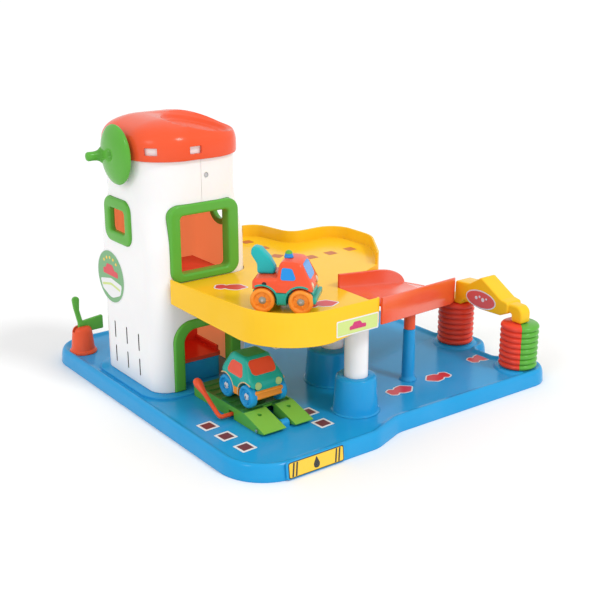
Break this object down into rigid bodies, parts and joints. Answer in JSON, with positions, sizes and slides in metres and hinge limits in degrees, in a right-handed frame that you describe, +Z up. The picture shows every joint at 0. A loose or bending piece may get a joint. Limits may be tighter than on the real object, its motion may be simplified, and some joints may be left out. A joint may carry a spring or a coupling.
{
  "type": "toy service station",
  "caption": "Toy garage on a tray: hand-cranked lift in a tower, curved upper deck, sloping exit road, roller wash, barrier, tilting service ramp and small vehicles",
  "frame": {"origin": "centre of the footprint on the surface the tray stands on", "axes": "+X runs to the right along the tray's front edge, +Y to the rear, +Z up"},
  "size_m": [0.501, 0.495, 0.351],
  "materials": {
    "blue_plastic": "gloss moulded",
    "white_plastic": "gloss moulded",
    "orange_plastic": "gloss moulded",
    "green_plastic": "gloss moulded",
    "yellow_plastic": "gloss moulded",
    "red_plastic": "gloss moulded",
    "teal_plastic": "gloss moulded",
    "amber_plastic": "gloss moulded",
    "sky_plastic": "gloss moulded",
    "steel": "plain drawn",
    "cord": "plain cord"
  },
  "bodies": {
    "station": {"base_tray": "blue_plastic", "lift_rest": "blue_plastic", "front_column_socket": "blue_plastic", "rear_column_socket": "blue_plastic", "road_post": "blue_plastic", "tower_left_shell": "white_plastic", "tower_right_shell": "white_plastic", "tower_back_panel": "white_plastic", "tower_screw": "steel", "roof_cap": "orange_plastic", "upper_door_frame": "green_plastic", "lower_door_frame": "green_plastic", "side_window_frame": "green_plastic", "porthole_frame": "green_plastic", "lift_mast": "white_plastic", "hoist_cord": "cord", "upper_deck": "yellow_plastic", "deck_skirt": "yellow_plastic", "deck_kerb": "yellow_plastic", "deck_rear_wall": "yellow_plastic", "deck_column_front": "white_plastic", "deck_column_rear": "white_plastic", "exit_road": "orange_plastic", "wash_arch": "yellow_plastic", "front_roller_axle": "white_plastic", "rear_roller_axle": "white_plastic", "barrier_post": "orange_plastic", "barrier_pin": "steel", "ramp_pin": "steel"},
    "crank": {"crank_handle": "green_plastic", "winding_drum": "white_plastic"},
    "lift": {"lift_carriage": "red_plastic"},
    "front_roller": {"front_roller_red_half": "red_plastic", "front_roller_green_half": "green_plastic"},
    "rear_roller": {"rear_roller_red_half": "red_plastic", "rear_roller_green_half": "green_plastic"},
    "barrier": {"barrier_lever": "green_plastic"},
    "ramp": {"service_ramp": "green_plastic"},
    "lever": {"ramp_lever": "orange_plastic"},
    "tow_truck": {"tow_truck_chassis": "teal_plastic", "tow_truck_body": "orange_plastic", "tow_truck_windows": "sky_plastic", "tow_truck_beacon": "sky_plastic", "tow_truck_boom": "teal_plastic"},
    "tow_truck_front_wheels": {"tow_truck_front_left_wheel": "amber_plastic", "tow_truck_front_right_wheel": "amber_plastic", "tow_truck_front_axle": "steel"},
    "tow_truck_rear_wheels": {"tow_truck_rear_left_wheel": "amber_plastic", "tow_truck_rear_right_wheel": "amber_plastic", "tow_truck_rear_axle": "steel"},
    "hatchback": {"hatchback_chassis": "amber_plastic", "hatchback_body": "teal_plastic", "hatchback_windows": "red_plastic"},
    "hatchback_front_wheels": {"hatchback_front_left_wheel": "blue_plastic", "hatchback_front_right_wheel": "blue_plastic", "hatchback_front_axle": "steel"},
    "hatchback_rear_wheels": {"hatchback_rear_left_wheel": "blue_plastic", "hatchback_rear_right_wheel": "blue_plastic", "hatchback_rear_axle": "steel"}
  },
  "joints": [
    {"name": "crank_turn", "type": "hinge", "parent": "station", "child": "crank", "pos_m": [-0.2255, 0.0555, 0.311], "axis": [1, 0, 0], "range_deg": [0, 606]},
    {"name": "lift_rise", "type": "slide", "parent": "station", "child": "lift", "axis": [0, 0, 1], "range_m": [0, 0.107], "deforming": ["hoist_cord"]},
    {"name": "front_roller_spin", "type": "hinge", "parent": "station", "child": "front_roller", "pos_m": [0.2145, -0.2005, 0.05], "axis": [0, 0, 1], "continuous": true},
    {"name": "rear_roller_spin", "type": "hinge", "parent": "station", "child": "rear_roller", "pos_m": [0.2145, -0.0845, 0.05], "axis": [0, 0, 1], "continuous": true},
    {"name": "barrier_raise", "type": "hinge", "parent": "station", "child": "barrier", "pos_m": [-0.2185, 0.1965, 0.045], "axis": [0, -1, 0], "range_deg": [0, 50]},
    {"name": "ramp_tilt", "type": "hinge", "parent": "station", "child": "ramp", "pos_m": [-0.1415, -0.1615, 0.0208], "axis": [1, 0, 0], "range_deg": [0, 8]},
    {"name": "lever_press", "type": "hinge", "parent": "station", "child": "lever", "pos_m": [-0.1925, -0.1085, 0.0225], "axis": [-1, 0, 0], "range_deg": [0, 24.5]},
    {"name": "tow_truck_lift_off", "type": "slide", "parent": "station", "child": "tow_truck", "axis": [0, 0, 1], "range_m": [0, 0.08]},
    {"name": "tow_truck_front_spin", "type": "hinge", "parent": "tow_truck", "child": "tow_truck_front_wheels", "pos_m": [-0.11784, -0.17322, 0.1743], "axis": [0.7314, 0.682, 0], "continuous": true},
    {"name": "tow_truck_rear_spin", "type": "hinge", "parent": "tow_truck", "child": "tow_truck_rear_wheels", "pos_m": [-0.14716, -0.14178, 0.1743], "axis": [0.7314, 0.682, 0], "continuous": true},
    {"name": "hatchback_lift_off", "type": "slide", "parent": "ramp", "child": "hatchback", "axis": [0, 0, 1], "range_m": [0, 0.04]},
    {"name": "hatchback_front_spin", "type": "hinge", "parent": "hatchback", "child": "hatchback_front_wheels", "pos_m": [-0.1415, -0.1245, 0.0472], "axis": [1, 0, 0], "continuous": true},
    {"name": "hatchback_rear_spin", "type": "hinge", "parent": "hatchback", "child": "hatchback_rear_wheels", "pos_m": [-0.1415, -0.0815, 0.0472], "axis": [1, 0, 0], "continuous": true}
  ],
  "couplings": [
    {"joint": "lift_rise", "follows": "crank_turn", "m_per_rad": 0.0101},
    {"joint": "lever_press", "follows": "ramp_tilt", "ratio": 3}
  ]
}
